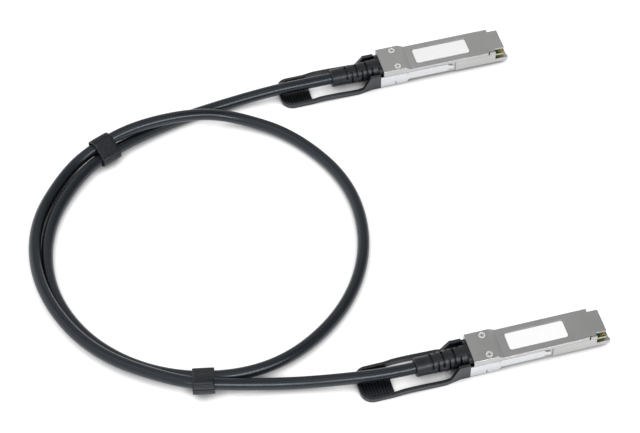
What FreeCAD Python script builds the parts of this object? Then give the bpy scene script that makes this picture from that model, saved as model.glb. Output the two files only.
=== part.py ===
import FreeCAD, Part
import math
import os

from FreeCAD import Base

Vector = Base.Vector

# A passive direct attach cable: one round twinax cable with a pluggable
# four-lane module moulded onto each end, wound once into a loop that two
# hook-and-loop ties hold. Millimetres, +Z up. Both modules lie on the floor
# with their noses along +X, and the origin is the floor point in the middle
# of the two modules.
#
# A module is drawn in its own frame: the nose end of its cover at x = 0, the
# body towards -x, the middle plane at y = 0 and the floor at z = 0.

# ---- module, outside ------------------------------------------------------
module_width = 18.35
nose_height = 8.5
nose_lift = 2.0            # floor to the underside of the nose
nose_length = 55.7
ramp_length = 3.3
rear_length = 12.8
rear_step_up = 1.97        # cover of the rear block above the nose
cover_skirt = 1.9          # side height of the cover on the nose
corner_round = 0.45

# ---- castings -------------------------------------------------------------
roof_wall = 1.0
floor_wall = 1.2
block_floor_wall = 0.9     # over the recess for the slider's bridge
side_wall = 1.1
rear_wall = 1.5
clearance = 0.15           # general gap between pieces that slide or drop in
mouth_notch_length = 5.5
mouth_notch_depth = 2.3
mouth_notch_slant = 0.6
mouth_key_length = 3.7     # key of the base let into the cover behind the notch
mouth_key_drop = 0.35      # top of the key below the cover's face
lip_length = 2.0           # the base reaches past the cover at the mouth
lip_height = 2.5
block_core_width = 9.4     # channel through the solid rear block
label_length = 31.4
label_width = 10.3
label_thick = 0.12
label_margin = 0.6
label_pocket_depth = 0.25
label_middle = 35.6        # label middle behind the nose end
label_corner = 1.2

# ---- cover screws ---------------------------------------------------------
screw_inset = 8.8          # screw axis ahead of the rear face
screw_spacing = 12.4
screw_head_radius = 2.0
screw_head_height = 1.1
screw_shank_radius = 0.8
screw_reach = 5.6          # shank below the head
screw_sink = 0.15          # head below the face of the cover
recess_width = 0.55
recess_length = 2.2
recess_depth = 0.6

# ---- circuit card ---------------------------------------------------------
card_width = 16.42
card_thick = 1.0
card_reach = 0.2           # card end past the cover's nose end, inside the lip
card_tongue = 13.0
card_body_width = 14.2
card_length = 43.0
card_lift = 4.4            # underside of the card above the nose underside
card_bevel = 0.6
ledge_width = 0.9

# ---- latch slider ---------------------------------------------------------
sheet = 0.4
slider_inset = 0.05        # outer face of the sheet behind the module's side
slider_overhang = 1.7      # sheet behind the rear face
slider_front = 33.0
slider_top_gap = 0.25      # below the edge of the cover's skirt
slider_nose_floor = 3.1
slider_rear_floor = 0.55
slider_dip = 1.5           # length of the step in the lower edge
finger_length = 2.3
finger_height = 2.2
finger_flare = 0.5
finger_room = 1.5          # recess in front of the finger's tip
bridge_length = 5.0
bridge_inset = 7.3         # middle of the bridge ahead of the rear face
bridge_cover = 0.25        # floor to the underside of the bridge
lug_height = 2.4
lug_reach = 1.9
lug_inset = 2.0            # rear face of the lug behind the ramp
lug_gap = 0.5              # free travel in front of the lug
slot_inset = 7.1
slot_width = 0.5
slot_height = 2.2
peep_inset = 14.0
peep_size = 0.6
tongue_length = 3.0
tongue_height = 3.6
latch_travel = 2.5

# ---- return springs -------------------------------------------------------
spring_radius = 0.75       # middle of the wire
spring_wire = 0.2
spring_turns = 5
spring_sides = 8           # straight lengths in a turn
spring_length = 6.0
spring_height = 3.9        # axis above the floor

# ---- pull tab -------------------------------------------------------------
tab_wall = 1.8
tab_top = 9.6
tab_flat = 6.0             # level top of the cheek behind the slider
tab_slope = 4.4
tab_straight = 5.0         # cheek in line with the slider before it flares
tab_flare = 8.0            # length over which the arms spread to the pad's width
strap_height = 2.6
strap_rise = 0.7           # the straps bow up off the floor
strap_crest = 0.7          # share of the strap ahead of the top of the bow
tab_floor = 0.1            # underside of the cheeks
pad_gap = 41.7             # rear face of the module to the pad's open edge
pad_length = 17.1
pad_width = 21.2
pad_corner = 6.5
pad_rim = 2.4
pad_rim_wall = 1.7
pad_floor = 1.0
rib_count = 9
rib_pitch = 1.6
rib_width = 0.7
rib_height = 0.8
rib_first = 2.9            # first rib behind the pad's open edge

# ---- cable and strain relief ----------------------------------------------
cable_diameter = 6.4
cable_axis = 6.4           # axis of the strain relief above the floor
straight_out = 14.0        # first run of the free cable
boot_end_radius = 5.0
boot_root_radius = 6.0
boot_length = 28.7         # behind the cover's rear face
boot_edge = 0.5
boot_flange_width = 14.0
boot_flange_height = 10.8
boot_flange_thick = 1.9
boot_flange_corner = 3.0
boot_neck_radius = 4.3
anchor_radius = 4.45
anchor_thick = 1.7
boot_skin = 0.55           # left over the cable under a slot
slot_pitch = 2.96
ring_slot_width = 1.1
slot_count = 6
side_slot_angle = 61.0     # half the turn a slot covers
top_slot_angle = 72.0
first_slot = 5.45          # first slot behind the rear face
ferrule_wall = 0.6
ferrule_length = 6.2
pair_count = 4             # twin pairs on each face of the card
pair_width = 2.4
pair_thick = 1.2
pair_root_width = 1.3
pair_root_thick = 0.9
solder_overlap = 3.0

# ---- where the modules lie ------------------------------------------------
module_spacing = 203.1
module_stagger = 13.4

# ---- ties -----------------------------------------------------------------
tie_width = 11.8
tie_thick = 1.1
tie_slack = 0.4
tie_tail_height = 6.0
tie_spots = (((-163.2, 84.5), 203.0), ((-147.6, -77.9), -12.0))

cable_radius = cable_diameter / 2
half_width = module_width / 2
nose_top = nose_lift + nose_height
rear_top = nose_top + rear_step_up
module_length = nose_length + ramp_length + rear_length
screw_back = module_length - screw_inset
slider_back = module_length + slider_overhang
bridge_middle = module_length - bridge_inset
slot_back = module_length - slot_inset
peep_back = module_length - peep_inset
pad_start = module_length + pad_gap
pad_end = pad_start + pad_length
mouth_key_back = mouth_notch_length + mouth_key_length
split = nose_top - cover_skirt           # parting plane of the two castings
sheet_outer = half_width - slider_inset
sheet_inner = sheet_outer - sheet
channel_face = sheet_inner - clearance   # side of the base behind the sheet
boot_end = module_length + boot_length
tongue_low = (tab_top + tab_floor - tongue_height) / 2
card_floor = nose_lift + card_lift
card_top = card_floor + card_thick
span = lip_length + pad_end + module_stagger   # mouth of one to tab of the other

# Places of the two modules: name, nose end x, axis y.
modules = (
    ("plug_a", span / 2 - lip_length, module_spacing / 2),
    ("plug_b", span / 2 - lip_length - module_stagger, -module_spacing / 2),
)

# The free cable, from the end of one strain relief to the other.
exit_a = (modules[0][1] - boot_end, modules[0][2], cable_axis)
exit_b = (modules[1][1] - boot_end, modules[1][2], cable_axis)
route = [
    exit_a,
    (exit_a[0] - straight_out, exit_a[1], cable_axis),
    (-62.4, 101.4, 6.6),
    (-88.1, 101.9, 3.4),
    (-120.1, 97.3, 3.2),
    (-154.2, 85.9, 5.1),
    (-179.7, 73.0, 4.6),
    (-206.0, 39.9, 3.2),
    (-212.5, -3.4, 3.2),
    (-196.0, -45.6, 3.2),
    (-159.8, -75.6, 5.1),
    (-111.9, -82.9, 4.8),
    (-67.6, -60.8, 3.2),
    (-42.9, -19.4, 3.2),
    (-38.9, 27.4, 3.2),
    (-59.5, 68.9, 3.2),
    (-88.3, 89.7, 4.6),
    (-111.1, 92.2, 10.7),
    (-143.2, 93.4, 10.8),
    (-166.8, 88.4, 7.3),
    (-187.7, 76.4, 3.6),
    (-212.8, 42.8, 3.8),
    (-218.2, -4.3, 7.1),
    (-200.4, -50.0, 7.7),
    (-160.8, -81.5, 8.7),
    (-135.2, -85.7, 6.1),
    (-107.1, -91.6, 3.4),
    (-81.1, -98.0, 5.8),
    (exit_b[0] - straight_out, exit_b[1], cable_axis),
    exit_b,
]


# ---- helpers --------------------------------------------------------------
def box(x0, x1, y0, y1, z0, z1):
    corner = Vector(min(x0, x1), min(y0, y1), min(z0, z1))
    return Part.makeBox(abs(x1 - x0), abs(y1 - y0), abs(z1 - z0), corner)


def face_of(points):
    return Part.Face(Part.makePolygon([Vector(*p) for p in points + points[:1]]))


def side_prism(points, y0, y1):
    """Extrude an outline of (x, z) points along Y."""
    face = face_of([(x, y0, z) for x, z in points])
    return face.extrude(Vector(0, y1 - y0, 0))


def plan_prism(points, z0, z1):
    """Extrude an outline of (x, y) points along Z."""
    face = face_of([(x, y, z0) for x, y in points])
    return face.extrude(Vector(0, 0, z1 - z0))


def rod(radius, x0, x1, y, z):
    """A cylinder along X."""
    return Part.makeCylinder(radius, x1 - x0, Vector(x0, y, z), Vector(1, 0, 0))


def both_sides(shape):
    """The shape and its mirror image in the module's middle plane."""
    return shape.fuse(shape.mirror(Vector(0, 0, 0), Vector(0, 1, 0)))


def edges_along(shape, axis, test):
    """Straight edges along one axis whose middle passes the test."""
    found = []
    for edge in shape.Edges:
        if len(edge.Vertexes) != 2 or not isinstance(edge.Curve, Part.Line):
            continue
        run = edge.Vertexes[1].Point - edge.Vertexes[0].Point
        if abs(abs(getattr(run.normalize(), axis)) - 1) < 1e-6 and test(edge.CenterOfMass):
            found.append(edge)
    return found


def rounded_box(x0, x1, y0, y1, z0, z1, radius, axis):
    """A box whose four edges along one axis are rounded."""
    solid = box(x0, x1, y0, y1, z0, z1)
    return solid.makeFillet(radius, edges_along(solid, axis, lambda c: True))


# ---- castings -------------------------------------------------------------
def cover_outline():
    return [
        (0, split),
        (0, nose_top),
        (-nose_length, nose_top),
        (-nose_length - ramp_length, rear_top),
        (-module_length, rear_top),
        (-module_length, split),
    ]


def screw_axes():
    return [(-screw_back, side * screw_spacing / 2) for side in (1, -1)]


def cable_passage():
    """Space in both castings for the ferrule, the anchor and the boot's neck."""
    inner_wall = -module_length + rear_wall
    neck = rod(boot_neck_radius, -module_length - 1, inner_wall + 1, 0, cable_axis)
    anchor = rod(anchor_radius + clearance, inner_wall, inner_wall + anchor_thick + clearance,
                 0, cable_axis)
    return neck.fuse(anchor)


def top_cover():
    """The upper casting: roof, ramp, raised rear block and shallow skirts."""
    solid = side_prism(cover_outline(), -half_width, half_width)
    soft = edges_along(solid, "x", lambda c: c.z > split + 0.1)
    solid = solid.makeFillet(corner_round, soft)
    hollow = box(1, -nose_length - ramp_length, -half_width + side_wall, half_width - side_wall,
                 split - 1, nose_top - roof_wall)
    core = block_core_width / 2
    channel = box(-nose_length - ramp_length, -module_length + rear_wall, -core, core,
                  split - 1, rear_top - roof_wall)
    solid = solid.cut(hollow).cut(channel).cut(cable_passage())
    notch = plan_prism([
        (1, half_width + 1),
        (1, half_width - mouth_notch_depth),
        (-mouth_notch_length, half_width - mouth_notch_depth),
        (-mouth_notch_length - mouth_notch_slant, half_width - side_wall),
        (-mouth_key_back, half_width - side_wall),
        (-mouth_key_back - mouth_notch_slant, half_width),
        (-mouth_key_back - mouth_notch_slant, half_width + 1),
    ], split - 1, nose_top + 1)
    solid = solid.cut(both_sides(notch))
    pocket = rounded_box(
        -label_middle - label_length / 2 - label_margin,
        -label_middle + label_length / 2 + label_margin,
        -label_width / 2 - label_margin, label_width / 2 + label_margin,
        nose_top - label_pocket_depth, nose_top + 1, label_corner, "z")
    solid = solid.cut(pocket)
    for x, y in screw_axes():
        bore = Part.makeCylinder(screw_shank_radius + clearance, rear_top, Vector(x, y, split - 1))
        seat_z = rear_top - screw_sink - screw_head_height
        seat = Part.makeCone(screw_shank_radius + clearance, screw_head_radius + clearance,
                             screw_head_height, Vector(x, y, seat_z))
        mouth = Part.makeCylinder(screw_head_radius + clearance, 1,
                                  Vector(x, y, rear_top - screw_sink))
        solid = solid.cut(bore).cut(seat).cut(mouth)
    return solid


def base_outline():
    return [
        (lip_length, nose_lift),
        (lip_length, nose_lift + lip_height),
        (-mouth_notch_length, nose_lift + lip_height),
        (-mouth_notch_length, split),
        (-module_length, split),
        (-module_length, 0),
        (-nose_length - ramp_length, 0),
        (-nose_length - ramp_length / 3, nose_lift),
    ]


def spring_pocket():
    """Pocket in one side of the rear block, open towards the slider."""
    front = -slider_lug_back() + sheet + lug_gap
    back = -slider_lug_back() - spring_length
    half = lug_height / 2 + clearance
    return box(back, front, channel_face - lug_reach, channel_face + 1,
               spring_height - half, spring_height + half)


def slider_lug_back():
    """Rear face of the slider's lug, measured back from the nose end."""
    return nose_length + ramp_length + lug_inset


def bottom_base():
    """The lower casting: tray with card ledges, stepped down at the rear."""
    solid = side_prism(base_outline(), -half_width, half_width)
    # Recess for the slider's sheet along both sides and under the floor.
    recess_front = -slider_front + finger_length + finger_room
    side_recess = box(recess_front, -module_length - 1, channel_face, half_width + 1,
                      -1, split + 1)
    solid = solid.cut(both_sides(side_recess))
    bridge_half = bridge_length / 2 + latch_travel + clearance
    under = box(-bridge_middle - bridge_half, -bridge_middle + bridge_half - latch_travel,
                -half_width, half_width, -1, bridge_cover + sheet + clearance)
    solid = solid.cut(under)
    # Inside of the tray: wide for the card's tongue, narrower for its body.
    tray_floor = nose_lift + floor_wall
    block_floor = bridge_cover + sheet + clearance + block_floor_wall
    tongue_back = card_reach - card_tongue - clearance
    tongue_half = card_width / 2 + clearance
    body_half = card_body_width / 2 + clearance
    card_back = card_reach - card_length - clearance
    above_card = box(lip_length + 1, tongue_back, -tongue_half, tongue_half, card_floor, split + 1)
    body_bay = box(tongue_back + 1, card_back, -body_half, body_half, card_floor, split + 1)
    tongue_inner = tongue_half - ledge_width
    body_inner = body_half - ledge_width
    under_tongue = box(lip_length + 1, tongue_back, -tongue_inner, tongue_inner,
                       tray_floor, split + 1)
    under_body = box(tongue_back + 1, -nose_length - ramp_length, -body_inner, body_inner,
                     tray_floor, split + 1)
    core = block_core_width / 2
    channel = box(-nose_length - ramp_length, -module_length + rear_wall, -core, core,
                  block_floor, split + 1)
    for space in (above_card, body_bay, under_tongue, under_body, channel, cable_passage()):
        solid = solid.cut(space)
    solid = solid.cut(both_sides(spring_pocket()))
    for x, y in screw_axes():
        depth = screw_reach + screw_head_height + screw_sink
        bore = Part.makeCylinder(screw_shank_radius, split - rear_top + depth + 1,
                                 Vector(x, y, rear_top - depth))
        solid = solid.cut(bore)
    key = box(-mouth_key_back + clearance, -mouth_notch_length, half_width - side_wall + clearance,
              half_width, split, nose_top - mouth_key_drop)
    solid = solid.fuse(both_sides(key)).removeSplitter()
    # The mouth's lip has its lower edge eased so that it enters a cage.
    lead_in = side_prism([
        (lip_length + 1, nose_lift - 1),
        (lip_length + 1, nose_lift + floor_wall / 2),
        (lip_length, nose_lift + floor_wall / 2),
        (lip_length - floor_wall / 2, nose_lift),
        (lip_length - floor_wall / 2, nose_lift - 1),
    ], -half_width, half_width)
    return solid.cut(lead_in)


# ---- latch slider ---------------------------------------------------------
def slider_cheek():
    """One side of the slider: sheet, flared finger, lug and inset tongue."""
    top = split - slider_top_gap
    dip = -nose_length - ramp_length / 3
    finger_mid = (top + slider_nose_floor) / 2
    outline = [
        (-slider_front, finger_mid - finger_height / 2),
        (-slider_front, finger_mid + finger_height / 2),
        (-slider_front - finger_length / 2, top),
        (-slider_back, top),
        (-slider_back, slider_rear_floor),
        (dip - slider_dip, slider_rear_floor),
        (dip, slider_nose_floor),
        (-slider_front - finger_length / 2, slider_nose_floor),
    ]
    cheek = side_prism(outline, sheet_inner, sheet_outer)
    finger = plan_prism([
        (-slider_front, sheet_inner),
        (-slider_front, sheet_outer),
        (-slider_front + finger_length, sheet_outer + finger_flare),
        (-slider_front + finger_length, sheet_inner + finger_flare),
    ], finger_mid - finger_height / 2, finger_mid + finger_height / 2)
    lug_back = -slider_lug_back()
    lug = box(lug_back, lug_back + sheet, sheet_inner - lug_reach + clearance, sheet_inner,
              spring_height - lug_height / 2, spring_height + lug_height / 2)
    tongue = box(-slider_back - tongue_length, -slider_back + sheet, sheet_inner - sheet,
                 sheet_inner, tongue_low, tongue_low + tongue_height)
    slit = box(-slot_back - slot_width / 2, -slot_back + slot_width / 2,
               sheet_inner - 1, sheet_outer + 1, slider_rear_floor + sheet,
               slider_rear_floor + sheet + slot_height)
    peep = box(-peep_back - peep_size / 2, -peep_back + peep_size / 2,
               sheet_inner - 1, sheet_outer + 1, top - 2 * peep_size, top - peep_size)
    return cheek.fuse([finger, lug, tongue]).cut(slit).cut(peep)


def latch_slider():
    """The stainless slider: two cheeks joined by a bridge under the base."""
    x0 = -bridge_middle - bridge_length / 2
    bridge = box(x0, x0 + bridge_length, -sheet_outer, sheet_outer,
                 bridge_cover, bridge_cover + sheet)
    web = box(x0, x0 + bridge_length, sheet_inner, sheet_outer, bridge_cover,
              slider_rear_floor + sheet / 2)
    return both_sides(slider_cheek()).fuse([bridge, both_sides(web)]).removeSplitter()


def return_spring(side):
    """One compression spring between the slider's lug and the pocket's end."""
    y = side * (channel_face - lug_reach / 2 + clearance / 2)
    start = -slider_lug_back() - spring_wire - clearance / 2
    height = spring_length - 2 * spring_wire - clearance
    steps = spring_turns * spring_sides
    rings = []
    for step in range(steps + 1):
        angle = 2 * math.pi * step / spring_sides
        outward = Vector(0, math.cos(angle), math.sin(angle))
        centre = Vector(start - height * step / steps, y, spring_height) + outward * spring_radius
        corners = [centre + Vector(1, 0, 0) * spring_wire, centre + outward * spring_wire,
                   centre - Vector(1, 0, 0) * spring_wire, centre - outward * spring_wire]
        rings.append(Part.makePolygon(corners + corners[:1]))
    return Part.makeLoft(rings, True, True)


# ---- pull tab -------------------------------------------------------------
def strap_outline():
    """Side view of a cheek and its strap, which bows up off the floor."""
    x_cheek = -slider_back
    x_flat = x_cheek - tab_flat
    x_low = x_flat - tab_slope
    x_pad = -pad_start - rib_first
    x_mid = x_low + strap_crest * (x_pad - x_low)
    top = tab_floor + strap_height
    lift = Vector(0, 0, strap_rise)
    low_start = Vector(x_low, 0, tab_floor)
    low_end = Vector(x_pad, 0, 0)
    low_mid = Vector(x_mid, 0, tab_floor) + lift
    high_start = Vector(x_low, 0, top)
    high_end = Vector(x_pad, 0, pad_rim)
    high_mid = Vector(x_mid, 0, top) + lift
    lower = bowed_line(low_start, low_mid, low_end)
    upper = bowed_line(high_end, high_mid, high_start)
    cheek = [
        Vector(x_low, 0, top),
        Vector(x_flat, 0, tab_top),
        Vector(x_cheek, 0, tab_top),
        Vector(x_cheek, 0, tab_floor),
        Vector(x_low, 0, tab_floor),
    ]
    edges = [Part.LineSegment(a, b).toShape() for a, b in zip(cheek, cheek[1:])]
    edges += lower
    edges.append(Part.LineSegment(low_end, high_end).toShape())
    edges += upper
    return Part.Face(Part.Wire(edges))


def bowed_line(start, middle, end):
    """Two smooth curves that leave, meet over the middle and arrive level."""
    edges = []
    for near, far in ((start, middle), (middle, end)):
        level = Vector((far.x - near.x) / 2, 0, 0)
        curve = Part.BezierCurve()
        curve.setPoles([near, near + level, far - level, far])
        edges.append(curve.toShape())
    return edges


def arm_plan():
    """One arm seen from above: in line with the slider, then flared out to the pad's edge."""
    x_cheek = -slider_back
    x_straight = x_cheek - tab_straight
    x_flared = x_straight - tab_flare
    x_pad = -pad_start - rib_first
    outer = [
        (x_cheek, sheet_outer),
        (x_straight, sheet_outer),
        (x_flared, pad_width / 2),
        (x_pad, pad_width / 2),
    ]
    inner = [(x, y - tab_wall) for x, y in reversed(outer)]
    return plan_prism(outer + inner, -1, tab_top + 1)


def pull_tab():
    """The moulded tab: two cheeks, two straps and the ribbed finger pad."""
    strap = strap_outline()
    strap.translate(Vector(0, sheet_inner - tab_wall, 0))
    strap = strap.extrude(Vector(0, pad_width / 2, 0)).common(arm_plan())
    pocket = box(-slider_back - tongue_length, -slider_back + 1, sheet_inner - sheet, sheet_inner,
                 tongue_low, tongue_low + tongue_height)
    arms = both_sides(strap.cut(pocket))
    pad = rounded_pad(pad_width / 2, pad_corner, 0, pad_rim, 0)
    inner = rounded_pad(pad_width / 2 - pad_rim_wall, pad_corner - pad_rim_wall,
                        pad_floor, pad_rim + 1, pad_rim_wall)
    pad = pad.cut(inner)
    ribs = []
    reach = pad_width / 2 - pad_rim_wall - rib_width
    for index in range(rib_count):
        x = -pad_start - rib_first - index * rib_pitch
        ribs.append(box(x - rib_width / 2, x + rib_width / 2, -reach, reach,
                        pad_floor, pad_floor + rib_height))
    return arms.fuse([pad] + ribs).removeSplitter()


def rounded_pad(half, corner, z0, z1, inset):
    """A plate from the pad's open edge back, with two rounded rear corners."""
    x0 = -pad_end + inset
    x1 = -pad_start if inset == 0 else -pad_start + 1
    solid = box(x0, x1, -half, half, z0, z1)
    rear = edges_along(solid, "z", lambda c: c.x < x0 + 0.1)
    return solid.makeFillet(corner, rear)


# ---- card, label, screws --------------------------------------------------
def circuit_card():
    """The paddle card: a full-width tongue and a narrower body."""
    x0 = card_reach
    x_tongue = x0 - card_tongue
    half = card_width / 2
    body = card_body_width / 2
    upper = [
        (x0, half - card_bevel),
        (x0 - card_bevel, half),
        (x_tongue, half),
        (x_tongue, body),
        (x0 - card_length, body),
    ]
    outline = upper + [(x, -y) for x, y in reversed(upper)]
    return plan_prism(outline, card_floor, card_top)


def label_plate():
    z = nose_top - label_pocket_depth
    return rounded_box(-label_middle - label_length / 2, -label_middle + label_length / 2,
                       -label_width / 2, label_width / 2, z, z + label_thick,
                       label_corner, "z")


def cover_screw(x, y):
    """A countersunk screw with a cross recess."""
    top = rear_top - screw_sink
    head = Part.makeCone(screw_shank_radius, screw_head_radius, screw_head_height,
                         Vector(x, y, top - screw_head_height))
    shank = Part.makeCylinder(screw_shank_radius, screw_reach,
                              Vector(x, y, top - screw_head_height - screw_reach))
    screw = head.fuse(shank)
    for length, width in ((recess_length, recess_width), (recess_width, recess_length)):
        screw = screw.cut(box(x - length / 2, x + length / 2, y - width / 2, y + width / 2,
                              top - recess_depth, top + 1))
    return screw.removeSplitter()


# ---- cable end ------------------------------------------------------------
def ring_slots(x, angles, half_angle):
    """Two sectors of one flex ring, cut down to a thin skin over the cable."""
    inner = cable_radius + boot_skin
    outer = boot_root_radius + 1
    profile = face_of([(x - ring_slot_width / 2, 0, inner), (x - ring_slot_width / 2, 0, outer),
                       (x + ring_slot_width / 2, 0, outer), (x + ring_slot_width / 2, 0, inner)])
    sectors = []
    for angle in angles:
        sector = profile.copy()
        sector.rotate(Vector(0, 0, 0), Vector(1, 0, 0), angle - half_angle)
        sectors.append(sector.revolve(Vector(0, 0, 0), Vector(1, 0, 0), 2 * half_angle))
    return sectors


def cable_boot():
    """The strain relief: tapered sleeve, staggered slots, flange and anchor."""
    rear = -module_length
    inner_wall = rear + rear_wall
    outline = [
        (inner_wall + anchor_thick, 0),
        (inner_wall + anchor_thick, anchor_radius),
        (inner_wall, anchor_radius),
        (inner_wall, boot_neck_radius),
        (rear, boot_neck_radius),
        (rear, boot_root_radius),
        (rear - boot_flange_thick, boot_root_radius),
        (rear - first_slot - slot_pitch * slot_count, boot_end_radius),
        (-boot_end + boot_edge, boot_end_radius),
        (-boot_end, boot_end_radius - boot_edge),
        (-boot_end, 0),
    ]
    solid = face_of([(x, 0, r) for x, r in outline])
    solid = solid.revolve(Vector(0, 0, 0), Vector(1, 0, 0), 360)
    flange = rounded_box(rear - boot_flange_thick, rear,
                         -boot_flange_width / 2, boot_flange_width / 2,
                         -boot_flange_height / 2, boot_flange_height / 2, boot_flange_corner, "x")
    solid = solid.fuse(flange)
    for index in range(slot_count):
        x = rear - first_slot - index * slot_pitch
        if index % 2 == 0:
            solid = solid.cut(ring_slots(x, (90, 270), side_slot_angle))
        else:
            solid = solid.cut(ring_slots(x, (0, 180), top_slot_angle))
    bore = rod(cable_radius, -boot_end - 1, inner_wall + anchor_thick + 1, 0, 0)
    solid = solid.cut(bore)
    solid.translate(Vector(0, 0, cable_axis))
    return solid


def ferrule_front():
    return -module_length + rear_wall + anchor_thick + clearance + ferrule_length


def jacket_end():
    """The last stretch of the cable, inside the strain relief and ferrule."""
    return rod(cable_radius, -boot_end, ferrule_front(), 0, cable_axis)


def crimp_ferrule():
    """The ring crimped on the jacket just inside the anchor."""
    front = ferrule_front()
    outer = rod(cable_radius + ferrule_wall, front - ferrule_length, front, 0, cable_axis)
    inner = rod(cable_radius, front - ferrule_length - 1, front + 1, 0, cable_axis)
    return outer.cut(inner)


def section(x, y, z, width, height):
    corners = [(x, y - width / 2, z - height / 2), (x, y + width / 2, z - height / 2),
               (x, y + width / 2, z + height / 2), (x, y - width / 2, z + height / 2)]
    return Part.makePolygon([Vector(*c) for c in corners + corners[:1]])


def twin_pairs():
    """The twin pairs, fanned out from the jacket to both faces of the card."""
    pairs = []
    start = ferrule_front()
    card_back = card_reach - card_length
    for level in (1, -1):
        face = card_top if level > 0 else card_floor
        z_card = face + level * pair_thick / 2
        z_root = cable_axis + level * (pair_root_thick + clearance) / 2
        for index in range(pair_count):
            across = index - (pair_count - 1) / 2
            y_card = across * (pair_width + 3 * clearance)
            y_root = across * (pair_root_width + clearance)
            sections = [
                section(start, y_root, z_root, pair_root_width, pair_root_thick),
                section(card_back, y_card, z_card, pair_width, pair_thick),
            ]
            fan = Part.makeLoft(sections, True, True)
            flat = box(card_back, card_back + solder_overlap,
                       y_card - pair_width / 2, y_card + pair_width / 2,
                       z_card - pair_thick / 2, z_card + pair_thick / 2)
            pairs.append(fan.fuse(flat).removeSplitter())
    return Part.makeCompound(pairs)


# ---- free cable -----------------------------------------------------------
def route_path():
    """Straight runs joined by tangent arcs as large as the runs allow."""
    points = [Vector(*p) for p in route]
    edges = []
    radii = []
    start = points[0]
    for before, corner, after in zip(points, points[1:], points[2:]):
        to_before = before - corner
        to_after = after - corner
        reach = 0.45 * min(to_before.Length, to_after.Length)
        half_turn = (math.pi - to_before.getAngle(to_after)) / 2
        radius = reach / math.tan(half_turn)
        to_before.normalize()
        to_after.normalize()
        arc_start = corner + to_before * reach
        arc_end = corner + to_after * reach
        inward = (to_before + to_after).normalize()
        arc_middle = corner + inward * (radius / math.cos(half_turn) - radius)
        edges.append(Part.LineSegment(start, arc_start).toShape())
        edges.append(Part.Arc(arc_start, arc_middle, arc_end).toShape())
        radii.append(radius)
        start = arc_end
    edges.append(Part.LineSegment(start, points[-1]).toShape())
    return Part.Wire(edges), radii


def cable_tube(path):
    start = Vector(*route[0])
    heading = Vector(*route[1]) - start
    profile = Part.Wire(Part.makeCircle(cable_radius, start, heading))
    return path.makePipe(Part.Face(profile))


# ---- ties -----------------------------------------------------------------
def strand_places(path, middle, heading):
    """Where the two strands cross an upright plane, as (across, height)."""
    along = Vector(math.cos(heading), math.sin(heading), 0)
    across = Vector(-math.sin(heading), math.cos(heading), 0)
    reach = 3 * cable_diameter
    corner = middle - across * reach - Vector(0, 0, reach)
    plane = Part.makePlane(2 * reach, 2 * reach, corner, along, across)
    places = [vertex.Point - middle for vertex in plane.section(path).Vertexes]
    places.sort(key=lambda p: p.dot(across))
    return [(p.dot(across), p.z) for p in (places[0], places[-1])]


def belt(x, places, radius):
    """The outline of a band pulled round two circles of one radius."""
    (y0, z0), (y1, z1) = places
    length = math.hypot(y1 - y0, z1 - z0)
    uy, uz = (y1 - y0) / length * radius, (z1 - z0) / length * radius
    first_low, first_top = Vector(x, y0 + uz, z0 - uy), Vector(x, y0 - uz, z0 + uy)
    second_low, second_top = Vector(x, y1 + uz, z1 - uy), Vector(x, y1 - uz, z1 + uy)
    return Part.Wire([
        Part.LineSegment(first_low, second_low).toShape(),
        Part.Arc(second_low, Vector(x, y1 + uy, z1 + uz), second_top).toShape(),
        Part.LineSegment(second_top, first_top).toShape(),
        Part.Arc(first_top, Vector(x, y0 - uy, z0 - uz), first_low).toShape(),
    ])


def cable_tie(path, spot, degrees):
    """A strap round both strands, with its free end lapped over the outside."""
    heading = math.radians(degrees)
    along = Vector(math.cos(heading), math.sin(heading), 0)
    middle = Vector(spot[0], spot[1], 0)
    half = tie_width / 2
    ends = [(x, strand_places(path, middle + along * x, heading)) for x in (-half, half)]

    def layer(depth):
        radius = cable_radius + tie_slack + depth
        return Part.makeLoft([belt(x, places, radius) for x, places in ends], True, True)

    far = 4 * cable_diameter
    inner_edge = sum(places[0][0] + places[1][0] for x, places in ends) / 4
    lap_zone = box(-half, half, inner_edge - far, inner_edge, tie_tail_height, far)
    strap = layer(tie_thick)
    lap = layer(2 * tie_thick).common(lap_zone)
    solid = strap.fuse(lap).cut(layer(0)).removeSplitter()
    solid.rotate(Vector(0, 0, 0), Vector(0, 0, 1), degrees)
    solid.translate(middle)
    return solid


# ---- output ---------------------------------------------------------------
def save(name, shape):
    solids = shape.Solids
    whole = solids[0] if len(solids) == 1 else Part.makeCompound(solids)
    whole.exportStep("parts/%s.step" % name)
    bounds = whole.optimalBoundingBox()
    print("%-24s solids %d valid %s volume %.1f x %.1f..%.1f y %.1f..%.1f z %.2f..%.2f" % (
        name, len(solids), whole.isValid(), whole.Volume, bounds.XMin, bounds.XMax,
        bounds.YMin, bounds.YMax, bounds.ZMin, bounds.ZMax))
    return whole


def main():
    os.makedirs("parts", exist_ok=True)
    pieces = {
        "top_cover": top_cover(),
        "bottom_base": bottom_base(),
        "latch_slider": latch_slider(),
        "pull_tab": pull_tab(),
        "circuit_card": circuit_card(),
        "label_plate": label_plate(),
        "cover_screws": Part.makeCompound([cover_screw(x, y) for x, y in screw_axes()]),
        "return_springs": Part.makeCompound([return_spring(side) for side in (1, -1)]),
        "cable_boot": cable_boot(),
        "jacket_end": jacket_end(),
        "crimp_ferrule": crimp_ferrule(),
        "twin_pairs": twin_pairs(),
    }
    for module, x, y in modules:
        for piece, shape in pieces.items():
            placed = shape.copy()
            placed.translate(Vector(x, y, 0))
            save("%s_%s" % (module, piece), placed)

    path, radii = route_path()
    tube = save("cable_jacket", cable_tube(path))
    expected = math.pi * cable_radius ** 2 * path.Length
    print("cable length %.1f, volume %.1f, section x length %.1f" % (
        path.Length, tube.Volume, expected))
    print("arc radii", " ".join("%.0f" % r for r in radii))
    for letter, (spot, degrees) in zip("ab", tie_spots):
        save("cable_tie_" + letter, cable_tie(path, spot, degrees))


main()
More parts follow.
